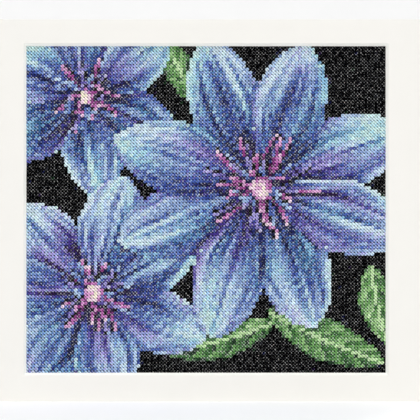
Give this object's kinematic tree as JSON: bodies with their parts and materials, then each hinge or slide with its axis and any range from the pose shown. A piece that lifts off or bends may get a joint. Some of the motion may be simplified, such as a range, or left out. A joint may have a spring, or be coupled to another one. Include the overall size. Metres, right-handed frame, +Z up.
{
  "type": "mounted cross-stitch picture",
  "caption": "Flower picture in counted cross stitch on cloth laced over a board, set behind an off-white bevelled window mount with packing strips round its back.",
  "frame": {"origin": "middle of the picture's lower edge, at half its depth", "axes": "+Z up the picture, +X to its right as seen from the front, and -Y out of its front"},
  "size_m": [0.24, 0.0116, 0.21],
  "materials": {
    "mount_board": "matt, faintly toothed off-white paper over a cream core",
    "foam_board": "white paper faces on a foam core",
    "aida_cloth": "block-woven cotton with a hole at each corner of its blocks",
    "lacing_thread": "plied linen thread",
    "mounting_tape": "double-sided tape",
    "cotton_black": "stranded cotton, soft sheen",
    "cotton_blue": "stranded cotton, soft sheen",
    "cotton_plum": "stranded cotton, soft sheen",
    "cotton_pink": "stranded cotton, soft sheen",
    "cotton_green": "stranded cotton, soft sheen"
  },
  "bodies": {
    "root": {"aida_cloth": "aida_cloth", "back_strip_bottom": "foam_board", "back_strip_left": "foam_board", "back_strip_right": "foam_board", "back_strip_top": "foam_board", "front_strip_bottom": "foam_board", "front_strip_left": "foam_board", "front_strip_right": "foam_board", "front_strip_top": "foam_board", "ground_10_stitches": "cotton_black", "ground_1_stitches": "cotton_black", "ground_2_stitches": "cotton_black", "ground_3_stitches": "cotton_black", "ground_4_stitches": "cotton_black", "ground_5_stitches": "cotton_black", "ground_6_stitches": "cotton_black", "ground_7_stitches": "cotton_black", "ground_8_stitches": "cotton_black", "ground_9_stitches": "cotton_black", "lacing_board": "foam_board", "lacing_level": "lacing_thread", "lacing_upright": "lacing_thread", "large_eye_stitches": "cotton_plum", "large_heart_stitches": "cotton_pink", "large_petal_1_stitches": "cotton_blue", "large_petal_2_stitches": "cotton_blue", "large_petal_3_stitches": "cotton_blue", "large_petal_4_stitches": "cotton_blue", "large_petal_5_stitches": "cotton_blue", "large_petal_6_stitches": "cotton_blue", "large_petal_7_stitches": "cotton_blue", "large_petal_8_stitches": "cotton_blue", "leaf_1_stitches": "cotton_green", "leaf_2_stitches": "cotton_green", "leaf_3_stitches": "cotton_green", "leaf_4_stitches": "cotton_green", "middle_eye_stitches": "cotton_plum", "middle_heart_stitches": "cotton_pink", "middle_petal_1_stitches": "cotton_blue", "middle_petal_2_stitches": "cotton_blue", "middle_petal_3_stitches": "cotton_blue", "middle_petal_4_stitches": "cotton_blue", "middle_petal_5_stitches": "cotton_blue", "middle_petal_6_stitches": "cotton_blue", "middle_petal_7_stitches": "cotton_blue", "mounting_tape_bottom": "mounting_tape", "mounting_tape_left": "mounting_tape", "mounting_tape_right": "mounting_tape", "mounting_tape_top": "mounting_tape", "small_eye_stitches": "cotton_plum", "small_heart_stitches": "cotton_pink", "small_petal_1_stitches": "cotton_blue", "small_petal_2_stitches": "cotton_blue", "small_petal_3_stitches": "cotton_blue", "small_petal_4_stitches": "cotton_blue", "small_petal_5_stitches": "cotton_blue", "small_petal_6_stitches": "cotton_blue", "window_mount": "mount_board"}
  },
  "joints": []
}
